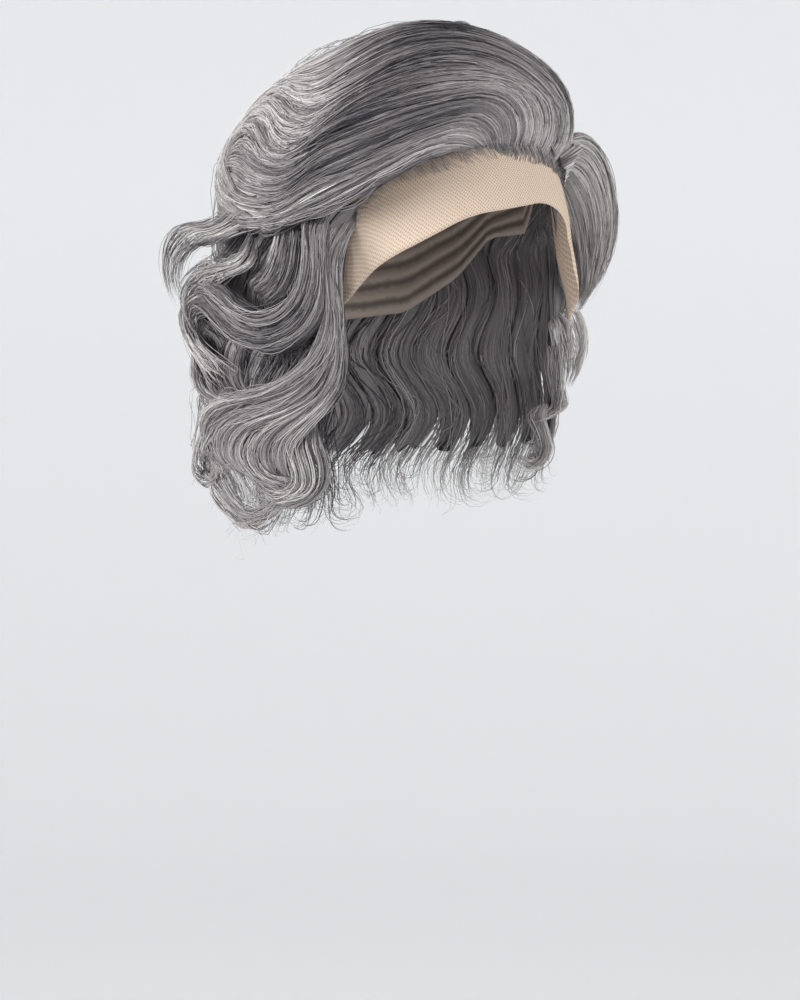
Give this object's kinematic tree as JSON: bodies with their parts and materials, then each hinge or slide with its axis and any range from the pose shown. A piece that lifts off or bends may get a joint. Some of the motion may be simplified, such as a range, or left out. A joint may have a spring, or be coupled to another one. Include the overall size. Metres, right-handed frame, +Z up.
{
  "type": "lace front wig",
  "caption": "Wavy grey wig with a side parting, falling to the shoulders in soft locks, on a domed cap with a sheer net front edge.",
  "frame": {"origin": "inside of the cap at the crown, where the top of the head bears on it", "axes": "+Z up, the face opening looks along -Y, +X towards the wearer's left"},
  "size_m": [0.2605, 0.2437, 0.3037],
  "materials": {
    "hair": "soft satin fibre",
    "lace": "sheer net",
    "cap_net": "matt net"
  },
  "bodies": {
    "root": {"cap": "cap_net", "lace_front": "lace", "lock_01": "hair", "lock_02": "hair", "lock_03": "hair", "lock_04": "hair", "lock_05": "hair", "lock_06": "hair", "lock_07": "hair", "lock_08": "hair", "lock_09": "hair", "lock_10": "hair", "lock_11": "hair", "lock_12": "hair", "lock_13": "hair", "lock_14": "hair", "lock_15": "hair", "lock_16": "hair", "lock_17": "hair", "flip_curl": "hair", "left_end_curl": "hair", "back_end_curl": "hair"}
  },
  "joints": []
}
